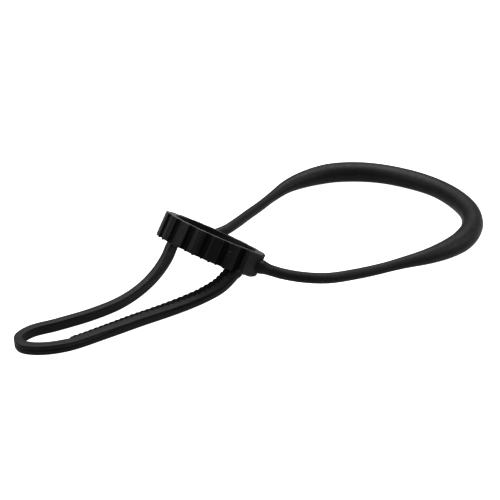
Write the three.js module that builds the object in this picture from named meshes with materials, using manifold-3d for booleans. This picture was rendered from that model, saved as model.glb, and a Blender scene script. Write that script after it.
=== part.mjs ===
// Adjustable wrist tether for a racket handle: a soft fluted collar that grips the butt of the
// handle, and one rubber strap that runs through both sides of it. On +X the strap is the wrist
// loop, two thin round legs that swell into a thick round pad. On -X it is the tail loop, a
// flat hairpin with a smooth leg and a toothed leg. The teeth are held by the adjuster block.
// Millimetres, +Z up, lying on a table at z = 0, X along the object, origin under its middle.

import * as THREE from "three";
import { mergeVertices } from "three/addons/utils/BufferGeometryUtils.js";
import Module from "manifold-3d";

// Collar: a short fluted tube that leans on its +X edge
const COLLAR_CENTRE = [-19.4, -2.55, 13.9];
const COLLAR_LEAN = THREE.MathUtils.degToRad(33.65); // about Y: the -X edge is lifted
const COLLAR_ROLL = THREE.MathUtils.degToRad(-5.1); // about X: the -Y side is a little higher
const COLLAR_HEIGHT = 8.4;
const COLLAR_RADIUS = 18.5; // over the flute crests
const BORE_RADIUS = 14.8;
const FLUTES = 18;
const FLUTE_DEPTH = 0.8;
const FLUTE_PHASE = THREE.MathUtils.degToRad(14.5); // angle of the first rib
const POINTS_PER_FLUTE = 10;

// Adjuster block, let into the collar's wall on the -Y side
const BLOCK_ANGLE = THREE.MathUtils.degToRad(-77);
const BLOCK_WIDTH = 7.6;
const BLOCK_INNER = 14.9;
const BLOCK_OUTER = 19.7;
const BLOCK_RISE = 0.5; // its underside lies this far above the collar's

// Guide lug, outside the collar's wall on the +Y side
const LUG_ANGLE = THREE.MathUtils.degToRad(80);
const LUG_WIDTH = 6;
const LUG_INNER = 18.8;
const LUG_OUTER = 24;
const LUG_HEIGHT = 6.4;
const LUG_DROP = 1.5; // its middle lies this far below the collar's middle

// Locking tongue, in a pocket over the strap inside the block
const TONGUE_LENGTH = 2.6;
const TONGUE_WIDTH = 2;
const TONGUE_THICKNESS = 0.7;
const TONGUE_CENTRE = [-16.2, -20.0, 14.1];
const POCKET_ROOM = 0.35;
const POCKET_HEADROOM = 0.7;

// Strap sections
const LEG_DIAMETER = 3.6;
const PAD_DIAMETER = 7.7;
const TAIL_WIDTH = 2.6;
const TAIL_HEIGHT = 3.6;
const TAPER_LENGTH = 40; // from leg to full pad, at each end of the pad
const FRONT_TAPER_DELAY = 2; // the tapers start a little later than the stretches they are on
const BACK_TAPER_DELAY = 6;
const FLATTENING_LENGTH = 9;
const RACK_HEIGHT = 3.2;
const RACK_WIDTH = 3.6; // to the tips of the teeth, next to the hairpin
const RACK_WIDTH_AT_BLOCK = 4.4;
const TOOTH_PITCH = 1.9;
const TOOTH_DEPTH = 0.6;
const SECTION_SIDES = 12;
const RACK_STEP = TOOTH_PITCH / 4; // spacing of the sections along each kind of stretch
const LEG_STEP = 3;
const PAD_STEP = 4.5;
const BEND_STEP = 2;
const GAP = 0.3; // left between neighbouring solids
const CHANNEL_ROOM = 0.3; // round the strap where it passes through the block and the lug
const CHANNEL_OVERRUN = 7; // how far each channel's cutter runs past the strap's link

// Middle line of the whole strap, a closed loop that starts inside the adjuster block.
const ROUTE = [
  ["in_block", [-17.6, -19.9, 11.4]],
  ["front_root", [-13.6, -20.3, 10.6]],
  ["", [-9.4, -22.0, 9.8]],
  ["", [-5.2, -24.8, 8.2]],
  ["", [1.0, -28.3, 6.5]],
  ["front_leg", [9.0, -31.5, 5.1]],
  ["", [19.0, -33.5, 4.3]],
  ["front_taper", [27.9, -34.8, 3.9]],
  ["", [37.9, -36.2, 3.9]],
  ["pad", [49.0, -37.7, 3.9]],
  ["", [58.5, -37.6, 3.9]],
  ["", [68.0, -35.6, 3.9]],
  ["", [77.4, -30.2, 3.9]],
  ["", [84.7, -21.4, 3.9]],
  ["", [88.4, -10.5, 3.9]],
  ["", [89.0, 1.5, 3.9]],
  ["", [85.8, 13.3, 3.9]],
  ["", [79.3, 24.4, 3.9]],
  ["", [70.6, 32.1, 3.9]],
  ["", [61.4, 36.6, 3.9]],
  ["back_taper", [52.0, 37.7, 3.9]],
  ["", [41.6, 36.4, 3.9]],
  ["back_leg", [30.6, 31.9, 3.9]],
  ["", [22.0, 27.2, 4.5]],
  ["back_root", [11.8, 21.7, 5.5]],
  ["", [3.6, 17.1, 6.4]],
  ["", [-3.2, 14.3, 6.8]],
  ["", [-9.6, 15.0, 6.4]],
  ["in_lug", [-14.4, 16.6, 7.4]],
  ["", [-17.9, 17.1, 8.6]],
  ["smooth_root", [-21.4, 16.6, 8.4]],
  ["", [-24.6, 14.7, 7.6]],
  ["", [-29.3, 10.9, 5.5]],
  ["smooth_leg", [-35.9, 6.7, 3.4]],
  ["", [-44.2, 2.4, 2.3]],
  ["", [-54.3, -1.0, 1.82]],
  ["", [-65.2, -2.2, 1.82]],
  ["bend", [-77.6, -1.4, 1.82]],
  ["", [-86.2, -0.2, 1.82]],
  ["", [-91.2, -2.3, 1.82]],
  ["", [-91.9, -6.3, 1.82]],
  ["", [-90.0, -9.0, 1.82]],
  ["", [-85.8, -11.8, 1.82]],
  ["rack", [-79.2, -13.8, 1.82]],
  ["", [-66.0, -14.1, 1.82]],
  ["", [-54.0, -14.0, 1.82]],
  ["", [-43.0, -14.3, 1.9]],
  ["rack_root", [-36.6, -15.4, 2.8]],
  ["", [-31.0, -17.3, 4.7]],
  ["", [-26.0, -18.9, 7.2]],
  ["near_link", [-22.2, -19.8, 10.5]],
  ["", [-20.3, -19.8, 11.5]],
];

const STRAP_COLOR = 0x1e1e20;
const COLLAR_COLOR = 0x151517;
const BLOCK_COLOR = 0x1b1b1d;

const wasm = await Module();
wasm.setup();

const rubber = (color, roughness) =>
  new THREE.MeshStandardMaterial({ color, roughness, metalness: 0 });

// ---------- the strap ----------

const strapLine = new THREE.CatmullRomCurve3(
  ROUTE.map(([, point]) => new THREE.Vector3(...point)),
  true,
  "centripetal",
);
const LINE_DIVISIONS = 40;
strapLine.arcLengthDivisions = ROUTE.length * LINE_DIVISIONS;
const strapLengths = strapLine.getLengths();
const STRAP_LENGTH = strapLengths[strapLengths.length - 1];

// Distance along the strap of a named point of the route
function along(name) {
  const index = ROUTE.findIndex(([label]) => label === name);
  return strapLengths[index * LINE_DIVISIONS];
}

const smooth = (x) => {
  const t = Math.min(Math.max(x, 0), 1);
  return t * t * (3 - 2 * t);
};

// Place and direction of the strap at a distance along it
function frameAt(distance) {
  const u = (((distance % STRAP_LENGTH) + STRAP_LENGTH) % STRAP_LENGTH) / STRAP_LENGTH;
  const place = strapLine.getPointAt(u);
  const forward = strapLine.getTangentAt(u);
  const side = new THREE.Vector3().crossVectors(forward, new THREE.Vector3(0, 0, 1)).normalize();
  const up = new THREE.Vector3().crossVectors(side, forward);
  return { place, side, up };
}

// A point of a section that is round at power 2 and nearly square at power 8
function sectionPoint(angle, power) {
  const c = Math.cos(angle);
  const s = Math.sin(angle);
  const reach = (Math.abs(c) ** power + Math.abs(s) ** power) ** (-1 / power);
  return [c * reach, s * reach];
}

// A closed solid that follows the strap from one distance to another. shape(distance) gives
// { width, height, power, inner }, inner being the reach towards the inside of the loop.
function loft(start, end, step, shape) {
  const steps = Math.round((end - start) / step);
  const corners = [];
  const faces = [];
  const turn = (2 * Math.PI) / SECTION_SIDES;
  for (let i = 0; i <= steps; i += 1) {
    const distance = start + ((end - start) * i) / steps;
    const { place, side, up } = frameAt(distance);
    const { width, height, power, inner = width / 2 } = shape(distance);
    for (let k = 0; k < SECTION_SIDES; k += 1) {
      const [x, z] = sectionPoint((k + 0.5) * turn, power);
      const across = x < 0 ? x * inner : (x * width) / 2;
      const point = place.clone().addScaledVector(side, across).addScaledVector(up, (z * height) / 2);
      corners.push(point.x, point.y, point.z);
    }
  }
  for (let i = 0; i < steps; i += 1) {
    for (let k = 0; k < SECTION_SIDES; k += 1) {
      const a = i * SECTION_SIDES + k;
      const b = i * SECTION_SIDES + ((k + 1) % SECTION_SIDES);
      faces.push(a, a + SECTION_SIDES, b, b, a + SECTION_SIDES, b + SECTION_SIDES);
    }
  }
  const last = steps * SECTION_SIDES;
  for (let k = 1; k < SECTION_SIDES - 1; k += 1) {
    faces.push(0, k, k + 1);
    faces.push(last, last + k + 1, last + k);
  }
  const geometry = new THREE.BufferGeometry();
  geometry.setAttribute("position", new THREE.Float32BufferAttribute(corners, 3));
  geometry.setIndex(faces);
  return geometry;
}

const round = (diameter) => ({ width: diameter, height: diameter, power: 2 });

// The wrist loop is round, thin at both ends and thick round the wrist
function wristShape(distance) {
  const grown = smooth((distance - along("front_taper") - FRONT_TAPER_DELAY) / TAPER_LENGTH);
  const left = smooth((along("back_leg") + BACK_TAPER_DELAY - distance) / TAPER_LENGTH);
  return round(LEG_DIAMETER + (PAD_DIAMETER - LEG_DIAMETER) * Math.min(grown, left));
}

// The tail loop is flat-sided, and round where it comes out of the guide lug
function tailShape(distance) {
  const flat = smooth((distance - along("smooth_root")) / FLATTENING_LENGTH);
  return {
    width: LEG_DIAMETER + (TAIL_WIDTH - LEG_DIAMETER) * flat,
    height: LEG_DIAMETER + (TAIL_HEIGHT - LEG_DIAMETER) * flat,
    power: 2 + 4 * flat,
  };
}

// Toothed leg: the teeth stand on the side that faces the inside of the tail loop
function rackShape(distance) {
  const phase = (distance - along("rack")) / TOOTH_PITCH;
  const tooth = Math.abs(Math.sin(Math.PI * phase));
  const progress = smooth((distance - along("rack")) / (along("near_link") - along("rack")));
  const width = RACK_WIDTH + (RACK_WIDTH_AT_BLOCK - RACK_WIDTH) * progress;
  const inner = width - TAIL_WIDTH / 2 - TOOTH_DEPTH * (1 - tooth);
  return { width: TAIL_WIDTH, height: RACK_HEIGHT, power: 6, inner };
}

// ---------- booleans ----------

function toSolid(geometry) {
  const bare = geometry.clone();
  bare.deleteAttribute("normal");
  bare.deleteAttribute("uv");
  const merged = mergeVertices(bare, 1e-4);
  const mesh = new wasm.Mesh({
    numProp: 3,
    vertProperties: new Float32Array(merged.attributes.position.array),
    triVerts: new Uint32Array(merged.index.array),
  });
  return new wasm.Manifold(mesh);
}

function toGeometry(solid) {
  const mesh = solid.getMesh();
  const geometry = new THREE.BufferGeometry();
  geometry.setAttribute("position", new THREE.BufferAttribute(mesh.vertProperties, 3));
  geometry.setIndex(new THREE.BufferAttribute(mesh.triVerts, 1));
  return geometry;
}

function cut(geometry, ...tools) {
  const solid = tools.reduce((rest, tool) => rest.subtract(toSolid(tool)), toSolid(geometry));
  return toGeometry(solid);
}

// ---------- the collar ----------

const collarPlace = new THREE.Matrix4().compose(
  new THREE.Vector3(...COLLAR_CENTRE),
  new THREE.Quaternion().setFromEuler(new THREE.Euler(COLLAR_ROLL, COLLAR_LEAN, 0, "YXZ")),
  new THREE.Vector3(1, 1, 1),
);

// Outline of the collar: round-topped ribs with round-bottomed grooves between them
function flutedOutline() {
  const outline = [];
  const count = FLUTES * POINTS_PER_FLUTE;
  for (let i = 0; i < count; i += 1) {
    const angle = (i / count) * 2 * Math.PI;
    const wave = Math.cos(FLUTES * (angle - FLUTE_PHASE));
    const rib = smooth((wave + 0.9) / 0.7);
    const radius = COLLAR_RADIUS - FLUTE_DEPTH * (1 - rib);
    outline.push(new THREE.Vector2(radius * Math.cos(angle), radius * Math.sin(angle)));
  }
  return outline;
}

function collarRing() {
  const shape = new THREE.Shape(flutedOutline());
  const bore = new THREE.Path();
  bore.absarc(0, 0, BORE_RADIUS, 0, 2 * Math.PI, true);
  shape.holes.push(bore);
  const geometry = new THREE.ExtrudeGeometry(shape, {
    depth: COLLAR_HEIGHT,
    bevelEnabled: false,
    curveSegments: 36,
  });
  geometry.translate(0, 0, -COLLAR_HEIGHT / 2);
  return geometry.applyMatrix4(collarPlace);
}

// A box on the collar's wall, from one radius to another, at an angle round the collar
function wallBox(angle, inner, outer, width, height, lift) {
  const geometry = new THREE.BoxGeometry(outer - inner, width, height);
  geometry.translate((inner + outer) / 2, 0, lift);
  geometry.rotateZ(angle);
  return geometry.applyMatrix4(collarPlace);
}

const blockBox = (room) =>
  wallBox(
    BLOCK_ANGLE,
    BLOCK_INNER - room * 3,
    BLOCK_OUTER + room,
    BLOCK_WIDTH + 2 * room,
    COLLAR_HEIGHT - BLOCK_RISE + 2 * room,
    BLOCK_RISE / 2,
  );

const lugBox = () =>
  wallBox(LUG_ANGLE, LUG_INNER, LUG_OUTER, LUG_WIDTH, LUG_HEIGHT, -LUG_DROP);

function tongueBox(room, headroom) {
  const geometry = new THREE.BoxGeometry(
    TONGUE_LENGTH + 2 * room,
    TONGUE_WIDTH + 2 * room,
    TONGUE_THICKNESS + 2 * room + headroom,
  );
  const [x, y, z] = TONGUE_CENTRE;
  return geometry.translate(x, y, z + headroom / 2);
}

// ---------- assembly ----------

const strap = rubber(STRAP_COLOR, 0.62);
const collar = rubber(COLLAR_COLOR, 0.7);
const block = rubber(BLOCK_COLOR, 0.66);

// The room that the strap needs where it passes the collar
const channelShape = () => round(LEG_DIAMETER + 2 * CHANNEL_ROOM);
const nearStart = along("near_link");
const nearEnd = STRAP_LENGTH + along("front_root");
const farStart = along("in_lug");
const farEnd = along("smooth_root");
const nearChannel = loft(nearStart - CHANNEL_OVERRUN, nearEnd + CHANNEL_OVERRUN, BEND_STEP, channelShape);
const farChannel = loft(farStart - CHANNEL_OVERRUN, farEnd + CHANNEL_OVERRUN, BEND_STEP, channelShape);

// The room that the teeth need where they pass under the collar's wall
const rackRoom = () => ({
  width: TAIL_WIDTH + 2 * CHANNEL_ROOM,
  height: RACK_HEIGHT + 2 * CHANNEL_ROOM,
  power: 6,
  inner: RACK_WIDTH_AT_BLOCK - TAIL_WIDTH / 2 + CHANNEL_ROOM,
});
const rackChannel = loft(nearStart - CHANNEL_OVERRUN, nearStart + CHANNEL_ROOM, BEND_STEP, rackRoom);

const linkShape = () => round(LEG_DIAMETER);

// Each stretch of the strap: name, where it starts and ends, step along it, section
const stretches = [
  ["near_link", nearStart, nearEnd, BEND_STEP, linkShape],
  ["front_leg_root", along("front_root"), along("front_leg"), LEG_STEP, wristShape],
  ["front_leg", along("front_leg"), along("front_taper"), LEG_STEP, wristShape],
  ["front_taper", along("front_taper"), along("pad"), LEG_STEP, wristShape],
  ["wrist_pad", along("pad"), along("back_taper"), PAD_STEP, wristShape],
  ["back_taper", along("back_taper"), along("back_leg"), LEG_STEP, wristShape],
  ["back_leg", along("back_leg"), along("back_root"), LEG_STEP, wristShape],
  ["back_leg_root", along("back_root"), farStart, LEG_STEP, wristShape],
  ["far_link", farStart, farEnd, BEND_STEP, linkShape],
  ["smooth_leg_root", farEnd, along("smooth_leg"), BEND_STEP, tailShape],
  ["smooth_leg", along("smooth_leg"), along("bend"), LEG_STEP, tailShape],
  ["hairpin_bend", along("bend"), along("rack"), BEND_STEP, tailShape],
  ["toothed_leg", along("rack"), along("rack_root"), RACK_STEP, rackShape],
  ["toothed_leg_root", along("rack_root"), nearStart, RACK_STEP, rackShape],
];

const pieces = [
  ["collar_ring", cut(collarRing(), blockBox(GAP), nearChannel, rackChannel, farChannel), collar],
  ["adjuster_block", cut(blockBox(0), nearChannel, rackChannel, tongueBox(POCKET_ROOM, POCKET_HEADROOM)), block],
  ["guide_lug", cut(lugBox(), farChannel), collar],
  ["locking_tongue", tongueBox(0, 0), block],
];
for (const [name, start, end, step, shape] of stretches) {
  pieces.push([name, loft(start, end - GAP, step, shape), strap]);
}

const tether = new THREE.Group();
for (const [name, geometry, material] of pieces) {
  const mesh = new THREE.Mesh(geometry, material);
  mesh.name = name;
  tether.add(mesh);
}

export default tether;
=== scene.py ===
"""Looks of a rubber wrist tether for a racket handle.

A fluted collar grips the butt of the handle. One moulded rubber strap runs through both sides of
it: thin round legs that swell into the wrist pad on +X, and a flat hairpin with a smooth leg and
a toothed leg on -X. Everything is in metres, in the same frame as the CAD model.
"""

import math

import bmesh
import bpy
import numpy as np
from mathutils import Euler, Matrix, Vector


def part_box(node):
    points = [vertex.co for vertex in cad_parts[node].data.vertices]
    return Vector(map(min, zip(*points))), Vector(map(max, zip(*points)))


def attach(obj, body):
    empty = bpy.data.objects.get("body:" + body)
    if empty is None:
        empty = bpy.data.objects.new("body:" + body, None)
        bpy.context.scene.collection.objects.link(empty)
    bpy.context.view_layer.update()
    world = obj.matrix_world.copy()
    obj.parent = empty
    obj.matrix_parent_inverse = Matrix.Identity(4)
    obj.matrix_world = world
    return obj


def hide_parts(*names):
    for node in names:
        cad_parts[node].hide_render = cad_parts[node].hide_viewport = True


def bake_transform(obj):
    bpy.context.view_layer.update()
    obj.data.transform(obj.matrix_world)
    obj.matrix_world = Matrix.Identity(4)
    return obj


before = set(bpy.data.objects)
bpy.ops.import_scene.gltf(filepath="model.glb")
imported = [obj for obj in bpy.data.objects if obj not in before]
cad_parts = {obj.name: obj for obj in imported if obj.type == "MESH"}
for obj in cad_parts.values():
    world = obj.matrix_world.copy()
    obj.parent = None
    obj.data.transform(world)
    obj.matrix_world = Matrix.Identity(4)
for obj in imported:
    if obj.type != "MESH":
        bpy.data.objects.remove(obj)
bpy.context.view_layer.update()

MM = 0.001

# ---------- camera ----------

CAMERA_PLACE = Vector((-0.1937, -0.2818, 0.1939))
CAMERA_AIM = Vector((0.4926, 0.7227, -0.4848))
CAMERA_LENS = 79.2
SENSOR_WIDTH = 36


def make_camera():
    data = bpy.data.cameras.new("view_camera")
    data.lens = CAMERA_LENS
    data.sensor_width = SENSOR_WIDTH
    data.clip_start = 0.01
    data.clip_end = 10
    camera = bpy.data.objects.new("view_camera", data)
    camera.location = CAMERA_PLACE
    camera.rotation_euler = CAMERA_AIM.to_track_quat("-Z", "Y").to_euler()
    bpy.context.scene.collection.objects.link(camera)
    bpy.context.scene.camera = camera


make_camera()

# ---------- sizes of the strap ----------

LEG_DIAMETER = 3.73 * MM
PAD_DIAMETER = 7.7 * MM
# Places along the strap where the pad is thicker or thinner, by how much, and over what length
PAD_SWELLS = [
    (92 * MM, 0.22 * MM, 6 * MM),
    (136 * MM, -0.3 * MM, 9 * MM),
    (173 * MM, 0.4 * MM, 13 * MM),
]
TAPER_LENGTH = 40 * MM  # from leg to full pad, at each end of the pad
FRONT_TAPER_DELAY = 2 * MM  # the tapers start a little later than the stretches they are on
BACK_TAPER_DELAY = 6 * MM
SEAM_HEIGHT = 0.05 * MM  # of the lines that the halves of the mould leave at the strap's sides
SEAM_HEIGHT_ON_PAD = 0.09 * MM  # as much again, at most, on the pad
SEAM_RIPPLES = (2.3 * MM, 7.1 * MM)
TAIL_WIDTH = 2.72 * MM
TAIL_HEIGHT = 3.7 * MM
HAIRPIN_HEIGHT = 3.3 * MM
RACK_HEIGHT = 3.2 * MM
SMOOTH_ROOT_DIAMETER = 4.4 * MM
EDGE_RADIUS = 0.3 * MM
SMOOTH_LEG_EDGE_RADIUS = 0.6 * MM
ROUNDNESS = 0.98  # a round stretch's edge radius, as a share of half its thickness
TOOTH_PITCH = 1.9 * MM
TOOTH_DEPTH = 0.45 * MM
TOOTH_DEPTH_AT_BLOCK = 0.75 * MM
BODY_INNER = 1.6 * MM  # how far the toothed leg's top reaches towards the inside of the loop
BODY_INNER_AT_BLOCK = 1.15 * MM
LEDGE_REACH = 2.8 * MM  # how far the ledge under the teeth reaches
LEDGE_REACH_AT_BLOCK = 3.5 * MM
LEDGE_WAVE = 0.35 * MM
LEDGE_DROP = 0.3 * MM  # from the strap's top down to the ledge
LEDGE_DROP_AT_BLOCK = 0.4 * MM
BEAD_BULGE = 0.2 * MM  # of the toothed leg's outer side
ROLL_AT_BLOCK = math.radians(22)  # the strap twists, top outwards, where it goes up to the block
ROLL_LOST = 0.6  # share of that twist that is gone again inside the block
TUCK_START = -2.2 * MM  # distances along the strap between which it lies deeper, inside the block
TUCK_END = 6.2 * MM
TUCK_RAMP = 2.2 * MM
TUCK_DEPTH = 0.75 * MM
TUCK_THINNING = 0.3
ROOT_FLARE = 0.16  # the wrist leg is thicker and a little higher where it leaves the block
ROOT_LIFT = 0.6 * MM
ROOT_FLARE_END = 10 * MM
ROOT_FLARE_RAMP = 3.4 * MM
ROOT_FILLET = 0.13  # it is also taller in the fillet at the block's side
ROOT_FACE = 7 * MM
ROOT_FILLET_RAMP = 1.2 * MM
CHANNEL_ROOM = 0.3 * MM

# Changes along the strap: the label of the route that each starts from, how far past it, and
# how long the change is
PAD_GROWS = ("front_taper", FRONT_TAPER_DELAY, TAPER_LENGTH)
LUG_SWELL = ("in_lug", 1 * MM, 6 * MM)
TAIL_FLATTENS = ("smooth_root", 8 * MM, 25 * MM)
TAIL_LOWERS = ("bend", -5 * MM, 20 * MM)
GROOVE_STARTS = ("bend", -2 * MM, 6 * MM)
RACK_NEARS = ("rack", -2 * MM, 4 * MM)
RACK_STARTS = ("rack", 0, 1.6 * MM)
RACK_ENDS = ("near_link", 1 * MM, 2 * MM)

# Changes along the toothed leg: where each starts and how long it is, as shares of the leg
BODY_NARROWS = (0.3, 0.5)
LEDGE_WIDENS = (0, 0.45)
TEETH_DEEPEN = (0, 1)
BODY_RISES = (0.75, 0.25)
GROOVE_RISES = (0.1, 0.3)
LIFTS_OFF_TABLE = (0.55, 0.45)
ROLLS_OUT = (0.45, 0.55)

# ---------- sizes of the collar ----------

COLLAR_CENTRE = Vector((-0.0194, -0.00255, 0.0139))
COLLAR_LEAN = math.radians(33.65)
COLLAR_ROLL = math.radians(-5.1)
COLLAR_HEIGHT = 8.4 * MM
COLLAR_RADIUS = 18.5 * MM
BORE_RADIUS = 14.8 * MM
COLLAR_EDGE = 0.3 * MM
COLLAR_LIP = 0.22 * MM
FLUTES = 18
FLUTE_DEPTH = 1.0 * MM
FLUTE_PHASE = math.radians(14.5)
FLUTE_FLOOR = -0.9  # a groove's floor is where a cosine that peaks on each rib is below this
FLUTE_RAMP = 0.7  # how much the cosine then rises before the rib's top begins
POINTS_PER_FLUTE = 36
# Fine lines along the ribs: how many there are in a turn, and how high they stand
RIB_STREAKS = [(83, 0.02 * MM), (131, 0.015 * MM), (197, 0.01 * MM)]
FLASH_DROP = 0.35 * MM  # beads of flash that the mould left on the collar's lower edge
FLASH_FREE = (math.radians(-16), math.radians(48))  # angles from the block with no flash between
ROUND_EDGE = 1.2 * MM  # the lower edge is rounder just past the block
ROUND_EDGE_AT = math.radians(30)  # from the block's middle
ROUND_EDGE_SPREAD = math.radians(18)
RIB_CROWN = 0.09
GROOVE_SHARE = 0.8  # of the way up to the ribs' tops, below which the collar is matt and painted darker as shade in the grooves
BLOCK_ANGLE = math.radians(-77)
BLOCK_WIDTH = 7.6 * MM
BLOCK_INNER = 14.9 * MM
BLOCK_LEVEL = 18.6 * MM
BLOCK_OUTER = 19.7 * MM
BLOCK_RISE = 0.5 * MM
BLOCK_CHAMFER = 1.1 * MM
BLOCK_SOFTNESS = 0.5 * MM
LUG_ANGLE = math.radians(80)
LUG_WIDTH = 6 * MM
LUG_INNER = 17.6 * MM
LUG_OUTER = 24 * MM
LUG_HEIGHT = 6.4 * MM
LUG_DROP = 1.5 * MM
LUG_SOFTNESS = 0.6 * MM
POCKET_ROOM = 0.35 * MM
POCKET_HEADROOM = 1.05 * MM
TONGUE_NARROWING = 0.65
TONGUE_STEP = -0.2  # where the tongue's lower side is at its +X end, in halves of its height
TONGUE_SOFTNESS = 0.12 * MM

# Middle line of the whole strap, a closed loop that starts inside the adjuster block
ROUTE = [
    ("in_block", (-0.0176, -0.0199, 0.0114)),
    ("front_root", (-0.0136, -0.0203, 0.0106)),
    ("", (-0.0094, -0.022, 0.0098)),
    ("", (-0.0052, -0.0248, 0.0082)),
    ("", (0.001, -0.0283, 0.0065)),
    ("front_leg", (0.009, -0.0315, 0.0051)),
    ("", (0.019, -0.0335, 0.0043)),
    ("front_taper", (0.0279, -0.0348, 0.0039)),
    ("", (0.0379, -0.0362, 0.0039)),
    ("pad", (0.049, -0.0377, 0.0039)),
    ("", (0.0585, -0.0376, 0.0039)),
    ("", (0.068, -0.0356, 0.0039)),
    ("", (0.0774, -0.0302, 0.0039)),
    ("", (0.0847, -0.0214, 0.0039)),
    ("", (0.0884, -0.0105, 0.0039)),
    ("", (0.089, 0.0015, 0.0039)),
    ("", (0.0858, 0.0133, 0.0039)),
    ("", (0.0793, 0.0244, 0.0039)),
    ("", (0.0706, 0.0321, 0.0039)),
    ("", (0.0614, 0.0366, 0.0039)),
    ("back_taper", (0.052, 0.0377, 0.0039)),
    ("", (0.0416, 0.0364, 0.0039)),
    ("back_leg", (0.0306, 0.0319, 0.0039)),
    ("", (0.022, 0.0272, 0.0045)),
    ("back_root", (0.0118, 0.0217, 0.0055)),
    ("", (0.0036, 0.0171, 0.0064)),
    ("", (-0.0032, 0.0143, 0.0068)),
    ("", (-0.0096, 0.015, 0.0064)),
    ("in_lug", (-0.0144, 0.0166, 0.0074)),
    ("", (-0.0179, 0.0171, 0.0086)),
    ("smooth_root", (-0.0214, 0.0166, 0.0084)),
    ("", (-0.0246, 0.0147, 0.0076)),
    ("", (-0.0293, 0.0109, 0.0055)),
    ("smooth_leg", (-0.0359, 0.0067, 0.0034)),
    ("", (-0.0442, 0.0024, 0.0023)),
    ("", (-0.0543, -0.001, 0.00182)),
    ("", (-0.0652, -0.0022, 0.00182)),
    ("bend", (-0.0776, -0.0014, 0.00182)),
    ("", (-0.0862, -0.0002, 0.00182)),
    ("", (-0.0912, -0.0023, 0.00182)),
    ("", (-0.0919, -0.0063, 0.00182)),
    ("", (-0.09, -0.009, 0.00182)),
    ("", (-0.0858, -0.0118, 0.00182)),
    ("rack", (-0.0792, -0.0138, 0.00182)),
    ("", (-0.066, -0.0141, 0.00182)),
    ("", (-0.054, -0.014, 0.00182)),
    ("", (-0.043, -0.0143, 0.0019)),
    ("rack_root", (-0.0366, -0.0154, 0.0028)),
    ("", (-0.031, -0.0173, 0.0047)),
    ("", (-0.026, -0.0189, 0.0072)),
    ("near_link", (-0.0222, -0.0198, 0.0105)),
    ("", (-0.0203, -0.0198, 0.0115)),
]
LINE_DIVISIONS = 60
SMOOTHING = 1.2 * MM


def smooth_step(x):
    t = min(max(x, 0.0), 1.0)
    return t * t * (3 - 2 * t)


def mix(a, b, t):
    return a + (b - a) * t


def curve_through(points):
    """Closely spaced points of the closed centripetal Catmull-Rom curve through the points."""
    count = len(points)
    t = np.arange(LINE_DIVISIONS)[:, None] / LINE_DIVISIONS
    stretches = []
    for i in range(count):
        before, start, end, after = (points[(i + k) % count] for k in (-1, 0, 1, 2))
        gap_a, gap_b, gap_c = (
            np.linalg.norm(b - a) ** 0.5 for a, b in ((before, start), (start, end), (end, after))
        )
        leave = (start - before) / gap_a - (end - before) / (gap_a + gap_b) + (end - start) / gap_b
        reach = (end - start) / gap_b - (after - start) / (gap_b + gap_c) + (after - end) / gap_c
        leave, reach = leave * gap_b, reach * gap_b
        bend = -3 * start + 3 * end - 2 * leave - reach
        twist = 2 * start - 2 * end + leave + reach
        stretches.append(start + leave * t + bend * t**2 + twist * t**3)
    return np.concatenate([*stretches, points[:1]])


class Strap:
    """The strap's middle line, and the place and direction of its section at a distance along it."""

    def __init__(self):
        self.line = curve_through(np.array([point for _, point in ROUTE]))
        steps = np.linalg.norm(np.diff(self.line, axis=0), axis=1)
        self.lengths = np.concatenate([[0], np.cumsum(steps)])
        self.total = self.lengths[-1]

    def along(self, label):
        index = [name for name, _ in ROUTE].index(label)
        return self.lengths[index * LINE_DIVISIONS]

    def raw_place(self, distance):
        distance = distance % self.total
        return np.array([np.interp(distance, self.lengths, self.line[:, k]) for k in range(3)])

    def place(self, distance):
        """A point of the line, with the small changes of bend at the route's points eased."""
        offsets = np.linspace(-1, 1, 7) * SMOOTHING
        weights = np.exp(-((offsets / SMOOTHING) ** 2) * 2)
        points = np.array([self.raw_place(distance + offset) for offset in offsets])
        return weights @ points / weights.sum()

    def frame(self, distance, roll=0.0):
        ahead = self.place(distance + SMOOTHING / 2) - self.place(distance - SMOOTHING / 2)
        forward = ahead / np.linalg.norm(ahead)
        side = np.cross(forward, (0, 0, 1))
        side /= np.linalg.norm(side)
        up = np.cross(side, forward)
        c, s = math.cos(roll), math.sin(roll)
        return self.place(distance), side * c - up * s, up * c + side * s


strap = Strap()
along = strap.along

# ---------- sections of the strap ----------
# A section is a closed list of points (out, up): out points to the outside of the loop that the
# strap makes, and up away from the table.

ARC_POINTS = 6
TABLE_REACH = 1.8 * MM  # from the tail's middle line down to the table
SEAM_SPREAD = 0.05  # of a seam round the section, in radians
GROOVE_HALF_WIDTH = 0.24 * MM
GROOVE_DEPTH = 0.22 * MM
HAIRPIN_GROOVE_DEPTH = 0.24 * MM
# Points round a circle, closest together at its two seams
ROUND_ANGLES = np.radians(
    [0, 2.5, 5, *range(12, 175, 7), 175, 177.5, 180, 182.5, 185, *range(192, 355, 7), 355, 357.5]
)


def round_section(diameter, seam=0.0):
    """A circle with the two thin seams that the halves of the mould leave at its sides."""
    at_side = np.exp(-((np.sin(ROUND_ANGLES) / SEAM_SPREAD) ** 2))
    radius = diameter / 2 + seam * at_side
    return np.stack([radius * np.cos(ROUND_ANGLES), radius * np.sin(ROUND_ANGLES)], axis=1)


def edge_arc(out, up, radius, start):
    angles = np.radians(start + np.linspace(0, 90, ARC_POINTS))
    return [(out + radius * math.cos(a), up + radius * math.sin(a)) for a in angles]


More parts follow.
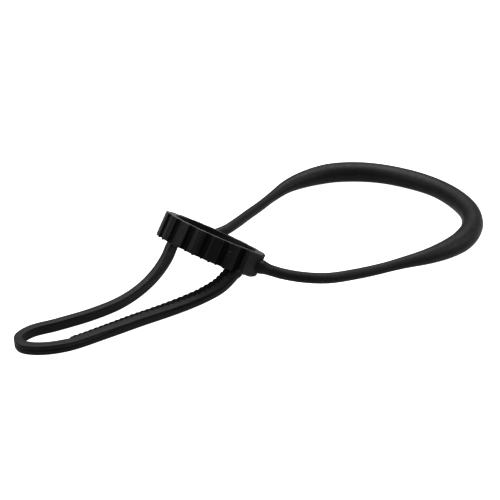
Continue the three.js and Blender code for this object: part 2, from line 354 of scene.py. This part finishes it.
def flat_section(width, height, radius, groove=(0.0, 0.0), bulge=0.0, rack=0.0, inner=None,
                 tip=None, ledge=0.0):
    """A rounded rectangle with a groove (how high, how deep) along its outer side, which may
    bulge. With rack it also has the toothed ledge on its inner side, inner and tip being how far
    its top and its ledge reach."""
    outer, top = width / 2, height / 2
    inner = outer if inner is None else inner
    tip = inner if tip is None else tip
    straight = top - radius
    groove_up, groove_depth = groove
    half_width = min(GROOVE_HALF_WIDTH, 0.4 * straight)
    groove_up = min(groove_up, straight - 1.5 * half_width)

    def side(up, depth=0.0):
        return (outer + bulge * (1 - (up / top) ** 2) - groove_depth * depth, up)

    points = [
        side(groove_up + half_width * up, depth)
        for up, depth in ((-1, 0), (-0.5, 0.6), (0, 1), (0.5, 0.6), (1, 0))
    ]
    points += [(side(up)[0] - outer + out, up)
               for out, up in edge_arc(outer - radius, straight, radius, 0)]
    points += [(mix(outer - radius, radius - inner, t), top) for t in (0.25, 0.5, 0.75)]
    top_radius = mix(radius, 0.5 * radius, rack)
    points += edge_arc(top_radius - inner, top - top_radius, top_radius, 90)
    stand_out = tip - inner
    # Share of the way from the teeth's face to the ledge's tip, and depth below the top
    on_ledge = (
        (0.0, ledge - 0.1 * MM),
        (0.12, ledge - 0.02 * MM),
        (0.5, ledge),
        (0.85, ledge + 0.05 * MM),
        (1.0, ledge + 0.2 * MM),
    )
    for k, (share, below_top) in enumerate(on_ledge):
        plain = straight * (0.8 - 0.3 * k)
        points.append((-inner - stand_out * share, mix(plain, top - below_top, rack)))
    lowest = points[-1][1]
    points += [(-tip, mix(lowest, -straight, t)) for t in (0.35, 0.7)]
    points += edge_arc(radius - tip, -straight, radius, 180)
    points += [(mix(radius - tip, outer - radius, t), -top) for t in (0.25, 0.5, 0.75)]
    points += [(side(up)[0] - outer + out, up)
               for out, up in edge_arc(outer - radius, -straight, radius, 270)]
    points += [side(mix(-straight, groove_up - half_width, t)) for t in (0.25, 0.5, 0.75)]
    return np.array(points)


# Faces of a toothed section that are left matt and painted darker as shade: the ledge, the teeth and
# what is below them
PAINTED_SHADE_FACES = range(3 * ARC_POINTS + 1, 4 * ARC_POINTS + 5)


def change(distance, label, start, length):
    """How much, from 0 to 1, of one of the changes along the strap has come about."""
    return smooth_step((distance - along(label) - start) / length)


def leg_change(run, start, length):
    """How much, from 0 to 1, of one of the changes along the toothed leg has come about."""
    return smooth_step((run - start) / length)


def wrist_section(distance):
    """Round, thin at both ends of the wrist loop and thick round the wrist."""
    grown = change(distance, *PAD_GROWS)
    left = smooth_step((along("back_leg") + BACK_TAPER_DELAY - distance) / TAPER_LENGTH)
    thick = min(grown, left)
    short, long = (math.sin(distance / length) for length in SEAM_RIPPLES)
    ripple = 0.5 + 0.5 * short * long
    diameter = mix(LEG_DIAMETER, PAD_DIAMETER, thick)
    for middle, amount, spread in PAD_SWELLS:
        diameter += amount * math.exp(-(((distance - middle) / spread) ** 2))
    section = round_section(diameter, SEAM_HEIGHT + SEAM_HEIGHT_ON_PAD * ripple * thick)
    section[:, 1] += max(0.0, (diameter - PAD_DIAMETER) / 2)  # a swell rests on the table
    return section, 0.0


def tail_section(distance):
    """Flat-sided round the hairpin, and round and thicker where it comes out of the guide lug."""
    flat = change(distance, *TAIL_FLATTENS)
    round_size = mix(LEG_DIAMETER, SMOOTH_ROOT_DIAMETER, change(distance, *LUG_SWELL))
    width = mix(round_size, TAIL_WIDTH, flat)
    to_hairpin = change(distance, *TAIL_LOWERS)
    height = mix(round_size, mix(TAIL_HEIGHT, HAIRPIN_HEIGHT, to_hairpin), flat)
    edge = mix(SMOOTH_LEG_EDGE_RADIUS, EDGE_RADIUS, to_hairpin)
    radius = mix(ROUNDNESS * round_size / 2, edge, flat)
    to_rack = change(distance, *RACK_NEARS)
    height = mix(height, RACK_HEIGHT, to_rack)
    groove = mix(HAIRPIN_GROOVE_DEPTH, GROOVE_DEPTH, to_rack) * change(distance, *GROOVE_STARTS)
    section = flat_section(width, height, radius, (0.0, groove))
    section[:, 1] -= (TABLE_REACH - height / 2) * flat
    return section, 0.0


def rack_section(distance, margin=0.0):
    """Toothed leg: the top's inner edge is scalloped into teeth, over a ledge that joins them."""
    start, block = along("rack"), along("near_link")
    if distance < along("in_block") + 8 * MM:
        distance += strap.total
    run = (distance - start) / (block - start)
    on = change(distance, *RACK_STARTS)
    gone = change(distance, *RACK_ENDS)
    rack = on * (1 - gone)
    gap = (1 - abs(math.sin(math.pi * (distance - start) / TOOTH_PITCH))) * (margin == 0)
    inner = mix(BODY_INNER, BODY_INNER_AT_BLOCK, leg_change(run, *BODY_NARROWS))
    tip = mix(LEDGE_REACH, LEDGE_REACH_AT_BLOCK, leg_change(run, *LEDGE_WIDENS))
    inner -= gap * mix(TOOTH_DEPTH, TOOTH_DEPTH_AT_BLOCK, leg_change(run, *TEETH_DEEPEN))
    tip -= gap * LEDGE_WAVE
    inner = mix(mix(TAIL_WIDTH / 2, inner, on), LEG_DIAMETER / 2, gone)
    tip = mix(mix(TAIL_WIDTH / 2, tip, on), LEG_DIAMETER / 2, gone)
    height = mix(RACK_HEIGHT, LEG_DIAMETER, max(leg_change(run, *BODY_RISES), gone))
    at_edge = leg_change(run, *GROOVE_RISES)
    groove = GROOVE_DEPTH * (1 - gone) * (margin == 0)
    section = flat_section(
        mix(TAIL_WIDTH, LEG_DIAMETER, gone) + 2 * margin,
        height + 2 * margin,
        mix(EDGE_RADIUS, ROUNDNESS * LEG_DIAMETER / 2, gone) + margin,
        (at_edge * height / 2, groove),
        BEAD_BULGE * at_edge * (1 - gone),
        rack,
        inner + margin,
        tip + margin,
        mix(LEDGE_DROP, LEDGE_DROP_AT_BLOCK, run),
    )
    on_table = 1 - leg_change(run, *LIFTS_OFF_TABLE)
    section[:, 1] -= (TABLE_REACH - RACK_HEIGHT / 2) * on_table
    roll = ROLL_AT_BLOCK * leg_change(run, *ROLLS_OUT) * (1 - ROLL_LOST * gone)
    return section, roll


def tuck(distance):
    """1 where the strap is out of sight inside the block, where it is thinner and lies deeper."""
    entered = smooth_step((distance - TUCK_START) / TUCK_RAMP)
    return entered * smooth_step((TUCK_END - distance) / TUCK_RAMP)


def tucked(section, distance):
    section[:, 0] *= 1 - TUCK_THINNING * tuck(distance)
    section[:, 0] -= TUCK_DEPTH * tuck(distance)
    return section


def link_section(distance):
    section, roll = rack_section(distance)
    return tucked(section, distance), roll


def front_leg_section(distance):
    """The leg swells a little where it is moulded on to the block."""
    section, roll = wrist_section(distance)
    at_block = smooth_step((ROOT_FLARE_END - distance) / ROOT_FLARE_RAMP)
    section = section * (1 + ROOT_FLARE * at_block)
    section[:, 1] += ROOT_LIFT * at_block
    in_fillet = math.exp(-max(0, distance - ROOT_FACE) / ROOT_FILLET_RAMP)
    bottom = section[:, 1].min()
    section[:, 1] = bottom + (section[:, 1] - bottom) * (1 + ROOT_FILLET * in_fillet)
    return tucked(section, distance), roll


def channel_section(distance):
    section = round_section(LEG_DIAMETER + CHANNEL_ROOM)
    return tucked(section, distance), 0.0


def wide_channel_section(distance):
    return round_section(SMOOTH_ROOT_DIAMETER + 1.5 * CHANNEL_ROOM), 0.0


def rack_channel_section(distance):
    section, roll = rack_section(distance, margin=0.5 * CHANNEL_ROOM)
    return tucked(section, distance), roll


# ---------- mesh helpers ----------

# Faces of a box whose corners are listed with z changing fastest and x slowest
BOX_FACES = [(0, 1, 3, 2), (4, 6, 7, 5), (0, 4, 5, 1), (2, 3, 7, 6), (0, 2, 6, 4), (1, 5, 7, 3)]
BLUNT = math.radians(50)  # angle between faces above which a loft's edge is sharp
CARVED_BLUNT = math.radians(38)


def mesh_object(name, points, faces):
    mesh = bpy.data.meshes.new(name)
    mesh.from_pydata([tuple(p) for p in points], [], faces)
    made = bmesh.new()
    made.from_mesh(mesh)
    bmesh.ops.recalc_face_normals(made, faces=made.faces)
    made.to_mesh(mesh)
    made.free()
    mesh.shade_smooth()
    obj = bpy.data.objects.new(name, mesh)
    bpy.context.scene.collection.objects.link(obj)
    return obj


def loft(name, start, end, step, section_at):
    """A closed solid that follows the strap between two distances along it, and its ring centres."""
    steps = max(2, round((end - start) / step))
    rings, centres = [], []
    for i in range(steps + 1):
        distance = start + (end - start) * i / steps
        section, roll = section_at(distance)
        place, side, up = strap.frame(distance, roll)
        rings.append(place + section[:, :1] * side + section[:, 1:] * up)
        centres.append(place)
    size = len(rings[0])
    points = [*np.concatenate(rings), rings[0].mean(axis=0), rings[-1].mean(axis=0)]
    faces = []
    for i in range(steps):
        for k in range(size):
            a, b = i * size + k, i * size + (k + 1) % size
            faces.append((a, b, b + size, a + size))
    first, last, ring = len(points) - 2, len(points) - 1, steps * size
    for k in range(size):
        faces.append((first, k, (k + 1) % size))
        faces.append((last, ring + (k + 1) % size, ring + k))
    obj = mesh_object(name, points, faces)
    obj.data.set_sharp_from_angle(angle=BLUNT)
    return obj, centres


def bevel(made, size, segments):
    edges = made.edges[:]
    bmesh.ops.bevel(made, geom=edges, offset=size, segments=segments, affect="EDGES", profile=0.5)


def carve(obj, *cutters):
    """Cuts the other meshes out of obj and deletes them."""
    for cutter in cutters:
        modifier = obj.modifiers.new("carve", "BOOLEAN")
        modifier.operation = "DIFFERENCE"
        modifier.solver = "EXACT"
        modifier.object = cutter
        graph = bpy.context.evaluated_depsgraph_get()
        carved = bpy.data.meshes.new_from_object(obj.evaluated_get(graph))
        obj.modifiers.clear()
        obj.data = carved
        bpy.data.objects.remove(cutter)
    obj.data.shade_smooth()
    obj.data.set_sharp_from_angle(angle=CARVED_BLUNT)


# ---------- materials ----------


# How fine the rubber's noises are, in features a metre
TONE_SCALE = 170
PATCH_SCALE = 90
SPECK_SCALE = 1900
GLOSS_SCALE = 420
LUMP_SCALE = 1500
GRAIN_SCALE = 5200
GRAIN_HEIGHT = 0.06 * MM


def rubber(name, tone, roughness, specular, grain):
    """Moulded black rubber: fine grain, slow changes of tone and gloss, and a few dust specks."""
    material = bpy.data.materials.new(name)
    material.use_nodes = True
    nodes, links = material.node_tree.nodes, material.node_tree.links
    shader = nodes["Principled BSDF"]
    shader.inputs["Specular IOR Level"].default_value = specular
    place = nodes.new("ShaderNodeTexCoord").outputs["Object"]

    def noise(scale, detail=2.0, rough=0.5):
        node = nodes.new("ShaderNodeTexNoise")
        node.inputs["Scale"].default_value = scale
        node.inputs["Detail"].default_value = detail
        node.inputs["Roughness"].default_value = rough
        links.new(place, node.inputs["Vector"])
        return node.outputs["Fac"]

    def ramp(value, low, high, low_color, high_color):
        node = nodes.new("ShaderNodeValToRGB")
        node.color_ramp.elements[0].position = low
        node.color_ramp.elements[1].position = high
        node.color_ramp.elements[0].color = (*low_color, 1)
        node.color_ramp.elements[1].color = (*high_color, 1)
        links.new(value, node.inputs["Fac"])
        return node.outputs["Color"]

    def tint(share, base_color, color):
        node = nodes.new("ShaderNodeMix")
        node.data_type = "RGBA"
        links.new(share, node.inputs["Factor"])
        links.new(base_color, node.inputs["A"])
        node.inputs["B"].default_value = (*color, 1)
        return node.outputs["Result"]

    base = ramp(
        noise(TONE_SCALE, 3.0),
        0.3,
        0.75,
        tuple(0.78 * c for c in tone),
        tuple(1.25 * c for c in tone),
    )
    specks = ramp(noise(SPECK_SCALE, 1.0), 0.735, 0.76, (0, 0, 0), (1, 1, 1))
    patches = ramp(noise(PATCH_SCALE, 2.0), 0.5, 0.7, (0, 0, 0), (1, 1, 1))
    dusty = nodes.new("ShaderNodeMath")
    dusty.operation = "MULTIPLY"
    links.new(specks, dusty.inputs[0])
    links.new(patches, dusty.inputs[1])
    links.new(tint(dusty.outputs["Value"], base, DUST_COLOR), shader.inputs["Base Color"])

    gloss = ramp(
        noise(GLOSS_SCALE, 4.0, 0.6),
        0.25,
        0.8,
        (roughness - 0.06,) * 3,
        (roughness + 0.08,) * 3,
    )
    links.new(gloss, shader.inputs["Roughness"])

    bump = nodes.new("ShaderNodeBump")
    bump.inputs["Strength"].default_value = grain
    bump.inputs["Distance"].default_value = GRAIN_HEIGHT
    heights = nodes.new("ShaderNodeMath")
    heights.operation = "MULTIPLY_ADD"
    heights.inputs[1].default_value = 0.5
    links.new(noise(GRAIN_SCALE, 2.0, 0.6), heights.inputs[0])
    links.new(noise(LUMP_SCALE, 3.0, 0.5), heights.inputs[2])
    links.new(heights.outputs["Value"], bump.inputs["Height"])
    links.new(bump.outputs["Normal"], shader.inputs["Normal"])
    return material


DUST_COLOR = (0.085, 0.083, 0.08)
MATERIALS = {
    "strap_rubber": rubber("moulded strap", (0.0063, 0.0063, 0.0065), 0.53, 0.175, 0.45),
    "collar_rubber": rubber("moulded collar", (0.0045, 0.0045, 0.0047), 0.5, 0.17, 0.45),
    "block_rubber": rubber("moulded block", (0.0085, 0.0085, 0.0087), 0.5, 0.2, 0.5),
}
# Matt finish for the collar's grooves and the toothed leg's ledge and teeth. Its darker tone and
# weaker reflection are painted shade, and its higher roughness is a matt finish.
SHADE_PAINTED_RUBBER = rubber("matt shade-painted rubber", (0.0045, 0.0045, 0.0047), 0.75, 0.07, 0.6)


def dress(obj, slot):
    obj.data.materials.clear()
    obj.data.materials.append(MATERIALS[slot])


def paint_shade_on_teeth(obj, ring_size):
    """Paints shade on the ledge, the teeth and what is below them with the darker matt material. The
    loft's faces run round each ring in turn, so a face's number gives its place round it.
    """
    obj.data.materials.append(SHADE_PAINTED_RUBBER)
    for face in obj.data.polygons:
        if len(face.vertices) == 4 and face.index % ring_size in PAINTED_SHADE_FACES:
            face.material_index = 1


# ---------- the strap's pieces ----------

RACK_STEP = TOOTH_PITCH / 12
PLAIN_STEP = 0.9 * MM
total = strap.total
ends = {label: along(label) for label, _ in ROUTE if label}
link_start = ends["near_link"] - total

# Name, where it starts and ends, step, section, bodies it lies between (it rides on the body when
# there is only one), CAD nodes it stands for
STRETCHES = [
    ("strap_in_block", link_start, ends["front_root"], 0.25 * MM, link_section, ["collar"],
     ["near_link"]),
    ("front_leg_bend", ends["front_root"], ends["front_leg"], 0.5 * MM, front_leg_section,
     ["collar", "wrist_legs"], ["front_leg_root"]),
    ("front_wrist_leg", ends["front_leg"], ends["pad"], PLAIN_STEP, wrist_section,
     ["wrist_legs", "wrist_loop"], ["front_leg", "front_taper"]),
    ("round_wrist_pad", ends["pad"], ends["back_taper"], PLAIN_STEP, wrist_section,
     ["wrist_loop"], ["wrist_pad"]),
    ("back_wrist_leg", ends["back_taper"], ends["back_root"], PLAIN_STEP, wrist_section,
     ["wrist_loop", "wrist_legs"], ["back_taper", "back_leg"]),
    ("back_leg_bend", ends["back_root"], ends["in_lug"], PLAIN_STEP, wrist_section,
     ["wrist_legs", "collar"], ["back_leg_root"]),
    ("strap_in_lug", ends["in_lug"], ends["smooth_root"], PLAIN_STEP, wrist_section,
     ["collar"], ["far_link"]),
    ("smooth_leg_bend", ends["smooth_root"], ends["smooth_leg"], PLAIN_STEP, tail_section,
     ["collar", "tail_legs"], ["smooth_leg_root"]),
    ("smooth_tail_leg", ends["smooth_leg"], ends["bend"], PLAIN_STEP, tail_section,
     ["tail_legs", "tail_bend"], ["smooth_leg"]),
    ("hairpin", ends["bend"], ends["rack"], 0.5 * MM, tail_section, ["tail_bend"], ["hairpin_bend"]),
    ("toothed_tail_leg", ends["rack"], ends["rack_root"], RACK_STEP, rack_section,
     ["tail_bend", "tail_legs"], ["toothed_leg"]),
    ("toothed_leg_end", ends["rack_root"], ends["near_link"], RACK_STEP, rack_section,
     ["tail_legs", "collar"], ["toothed_leg_root"]),
]
BLEND_INSET = 0.12  # share of a stretch, at each end, at which the points leave and reach are taken

pieces, middle_lines = {}, {}
for name, start, end, step, section_at, bodies, nodes in STRETCHES:
    piece, centres = loft(name, start, end, step, section_at)
    pieces[name], middle_lines[name] = piece, centres
    dress(piece, "strap_rubber")
    if section_at in (rack_section, link_section):
        paint_shade_on_teeth(piece, len(section_at(start)[0]))
    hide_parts(*nodes)
    if len(bodies) == 1:
        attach(piece, bodies[0])
    else:
        inset = BLEND_INSET * (end - start)
        leave, reach = strap.place(start + inset), strap.place(end - inset)
        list(bodies)
        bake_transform(piece)

# ---------- collar, adjuster block and guide lug ----------

collar_place = Matrix.Translation(COLLAR_CENTRE) @ Euler(
    (0, COLLAR_LEAN, 0)
).to_matrix().to_4x4() @ Euler((COLLAR_ROLL, 0, 0)).to_matrix().to_4x4()


def flute(angle):
    """0 in a groove and up to 1 on the middle of a rib, which is a little rounded."""
    wave = math.cos(FLUTES * (angle - FLUTE_PHASE))
    return smooth_step((wave - FLUTE_FLOOR) / FLUTE_RAMP) * (1 - RIB_CROWN * (1 - wave))


def collar_profile(angle):
    """Points (radius, height) round the collar's wall, starting at its outer lower edge."""
    radius = COLLAR_RADIUS - FLUTE_DEPTH * (1 - flute(angle))
    top, bottom = COLLAR_HEIGHT / 2, -COLLAR_HEIGHT / 2
    radius += sum(size * math.sin(rate * angle + rate) for rate, size in RIB_STREAKS)
    from_block = math.remainder(angle - BLOCK_ANGLE, 2 * math.pi)
    rounder = math.exp(-(((from_block - ROUND_EDGE_AT) / ROUND_EDGE_SPREAD) ** 2))
    outer_edge = mix(COLLAR_EDGE, ROUND_EDGE, rounder)
    flash = max(0, math.sin(2 * FLUTES * angle + 2 * math.sin(3 * angle))) ** 4
    flash *= 0 if FLASH_FREE[0] < from_block < FLASH_FREE[1] else FLASH_DROP
    edge, lip = COLLAR_EDGE, COLLAR_LIP
    points = [(radius - outer_edge + x, bottom - flash + outer_edge + y)
              for x, y in edge_arc(0, 0, outer_edge, 270)]
    points += [(radius, mix(bottom + outer_edge, top - lip, t)) for t in (0.1, 0.35, 0.65, 0.9)]
    points += [(radius - lip + x, top - lip + y) for x, y in edge_arc(0, 0, lip, 0)]
    points += [(mix(radius - lip, BORE_RADIUS + lip, t), top) for t in (0.2, 0.5, 0.8)]
    points += [(BORE_RADIUS + lip + x, top - lip + y) for x, y in edge_arc(0, 0, lip, 90)]
    points += [(BORE_RADIUS, mix(top - lip, bottom + edge, t)) for t in (0.2, 0.4, 0.6, 0.8)]
    points += [(BORE_RADIUS + edge + x, bottom + edge + y) for x, y in edge_arc(0, 0, edge, 180)]
    points += [(mix(BORE_RADIUS + edge, radius - outer_edge, t), bottom) for t in (0.3, 0.7)]
    return points


def collar_ring():
    count = FLUTES * POINTS_PER_FLUTE
    rings = []
    for i in range(count):
        angle = 2 * math.pi * i / count
        c, s = math.cos(angle), math.sin(angle)
        rings.append([collar_place @ Vector((r * c, r * s, z)) for r, z in collar_profile(angle)])
    size = len(rings[0])
    faces = []
    for i in range(count):
        for k in range(size):
            a, b = i * size + k, i * size + (k + 1) % size
            shift = (((i + 1) % count) - i) * size
            faces.append((a, b, b + shift, a + shift))
    return mesh_object("fluted_collar", [p for ring in rings for p in ring], faces)


def paint_shade_in_grooves(obj):
    """Paints shade in the grooves between the collar's ribs with the darker matt material, while the
    ribs keep the glossier rubber.
    """
    obj.data.materials.append(SHADE_PAINTED_RUBBER)
    to_collar = collar_place.inverted()
    for face in obj.data.polygons:
        place = to_collar @ face.center
        in_groove = flute(math.atan2(place.y, place.x)) < GROOVE_SHARE
        on_wall = math.hypot(place.x, place.y) > COLLAR_RADIUS - 1.1 * FLUTE_DEPTH
        if in_groove and on_wall and abs(place.z) < COLLAR_HEIGHT / 2 - COLLAR_LIP:
            face.material_index = 1


def wall_block(name, angle, inner, reach, outline, softness):
    """A block on the collar's wall: an outline (along the wall, up) pushed out from one radius to
    reach(t), which may change along the wall, with softened edges."""
    made = bmesh.new()
    walls = [
        [made.verts.new((inner, t, z)) for t, z in outline],
        [made.verts.new((reach(t), t, z)) for t, z in outline],
    ]
    count = len(outline)
    made.faces.new(walls[0][::-1])
    made.faces.new(walls[1])
    for k in range(count):
        n = (k + 1) % count
        made.faces.new((walls[0][k], walls[0][n], walls[1][n], walls[1][k]))
    bmesh.ops.recalc_face_normals(made, faces=made.faces)
    bevel(made, softness, segments=4)
    turned = collar_place @ Matrix.Rotation(angle, 4, "Z")
    bmesh.ops.transform(made, matrix=turned, verts=made.verts[:])
    mesh = bpy.data.meshes.new(name)
    made.to_mesh(mesh)
    made.free()
    obj = bpy.data.objects.new(name, mesh)
    bpy.context.scene.collection.objects.link(obj)
    return obj


def soften(obj, size):
    made = bmesh.new()
    made.from_mesh(obj.data)
    bevel(made, size, segments=3)
    made.to_mesh(obj.data)
    made.free()


def cutters(*wanted):
    """Solids of the room that the strap needs where it passes the collar."""
    spans = {  # from where to where along the strap, in what steps, and with what section
        "near": (link_start - 1 * MM, ends["front_root"] + 7 * MM, 1 * MM, channel_section),
        "rack": (link_start - 6 * MM, link_start + 1.3 * MM, 0.7 * MM, rack_channel_section),
        "far": (ends["in_lug"] - 7 * MM, ends["smooth_root"] + 7 * MM, 1 * MM,
                wide_channel_section),
    }
    return [loft("cut", *spans[name])[0] for name in wanted]


ring = collar_ring()
carve(ring, *cutters("near", "rack", "far"))
dress(ring, "collar_rubber")
paint_shade_in_grooves(ring)
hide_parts("collar_ring")
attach(ring, "collar")


def block_reach(t):
    """The block's face is level with the ribs at its -X side and stands out at its +X side."""
    return mix(BLOCK_LEVEL, BLOCK_OUTER, (t + BLOCK_WIDTH / 2) / BLOCK_WIDTH)


def lug_reach(t):
    return LUG_OUTER


half, tall = BLOCK_WIDTH / 2, COLLAR_HEIGHT / 2
block_outline = [
    (-half, BLOCK_RISE - tall),
    (half - BLOCK_CHAMFER, BLOCK_RISE - tall),
    (half, BLOCK_RISE - tall + BLOCK_CHAMFER),
    (half, tall),
    (-half, tall),
]
block = wall_block(
    "adjuster", BLOCK_ANGLE, BLOCK_INNER, block_reach, block_outline, BLOCK_SOFTNESS
)
tongue_low, tongue_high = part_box("locking_tongue")
pocket = mesh_object(
    "cut",
    [
        (x, y, z)
        for x in (tongue_low.x - POCKET_ROOM, tongue_high.x + POCKET_ROOM)
        for y in (tongue_low.y + 0.1 * MM, tongue_high.y - 0.1 * MM)
        for z in (tongue_low.z - POCKET_ROOM, tongue_high.z + POCKET_HEADROOM)
    ],
    BOX_FACES,
)
carve(block, *cutters("near", "rack"), pocket)
dress(block, "block_rubber")
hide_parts("adjuster_block")
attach(block, "collar")

half, tall = LUG_WIDTH / 2, LUG_HEIGHT / 2
lug_corners = ((-half, -tall), (half, -tall), (half, tall), (-half, tall))
lug_outline = [(x, z - LUG_DROP) for x, z in lug_corners]
lug = wall_block("far_lug", LUG_ANGLE, LUG_INNER, lug_reach, lug_outline, LUG_SOFTNESS)
carve(lug, *cutters("far"))
dress(lug, "collar_rubber")
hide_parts("guide_lug")
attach(lug, "collar")

middle = (tongue_low + tongue_high) / 2
tongue_half = (tongue_high - tongue_low) / 2
tongue_half.y *= TONGUE_NARROWING
tongue = mesh_object(
    "locking_catch",
    [
        middle + Vector((x * tongue_half.x, y * tongue_half.y, z * tongue_half.z))
        for x in (-1, 1)
        for y in (-1, 1)
        for z in (-1 if x < 0 else TONGUE_STEP, 1)
    ],
    BOX_FACES,
)
soften(tongue, TONGUE_SOFTNESS)
dress(tongue, "block_rubber")
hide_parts("locking_tongue")
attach(tongue, "tongue")

# ---------- stage and light ----------

FLOOR_HALF = 12
FLOOR_DROP = 0.1 * MM  # below the frame's table height, so that it stays under the strap
FLOOR_COLOR = (0.17, 0.17, 0.17, 1)
WHITE = (1, 1, 1, 1)
WORLD_LIGHT = 0.35
TABLE_GLOW = 0.78  # the table is a pane lit from below
# Name, place, aim, size, power
LIGHTS = [
    ("overhead_softbox", (0.1, 0.25, 0.75), (0, 0, 0), (0.9, 0.7), 14),
    ("left_softbox", (-0.7, 0.1, 0.45), (0, 0, 0), (0.5, 0.5), 3),
    ("right_softbox", (0.6, -0.5, 0.45), (0, 0, 0), (0.6, 0.5), 4),
]


def make_stage():
    floor = mesh_object(
        "floor",
        [(x, y, -FLOOR_DROP) for x, y in ((-1, -1), (1, -1), (1, 1), (-1, 1))],
        [(0, 1, 2, 3)],
    )
    floor.scale = (FLOOR_HALF, FLOOR_HALF, 1)
    material = bpy.data.materials.new("floor")
    material.use_nodes = True
    shader = material.node_tree.nodes["Principled BSDF"]
    shader.inputs["Base Color"].default_value = FLOOR_COLOR
    shader.inputs["Roughness"].default_value = 0.9
    shader.inputs["Specular IOR Level"].default_value = 0
    shader.inputs["Emission Color"].default_value = WHITE
    shader.inputs["Emission Strength"].default_value = TABLE_GLOW
    floor.data.materials.append(material)


def soft_light(name, place, aim, size, power):
    data = bpy.data.lights.new(name, "AREA")
    data.shape = "RECTANGLE"
    data.size, data.size_y = size
    data.energy = power
    light = bpy.data.objects.new(name, data)
    light.location = place
    light.rotation_euler = (Vector(aim) - Vector(place)).to_track_quat("-Z", "Y").to_euler()
    bpy.context.scene.collection.objects.link(light)


def make_lights():
    world = bpy.data.worlds.new("studio")
    world.use_nodes = True
    background = world.node_tree.nodes["Background"]
    background.inputs["Color"].default_value = WHITE
    background.inputs["Strength"].default_value = WORLD_LIGHT
    bpy.context.scene.world = world
    for light in LIGHTS:
        soft_light(*light)


make_stage()
make_lights()
bpy.context.scene.view_settings.view_transform = "Standard"
bpy.context.scene.view_settings.look = "High Contrast"
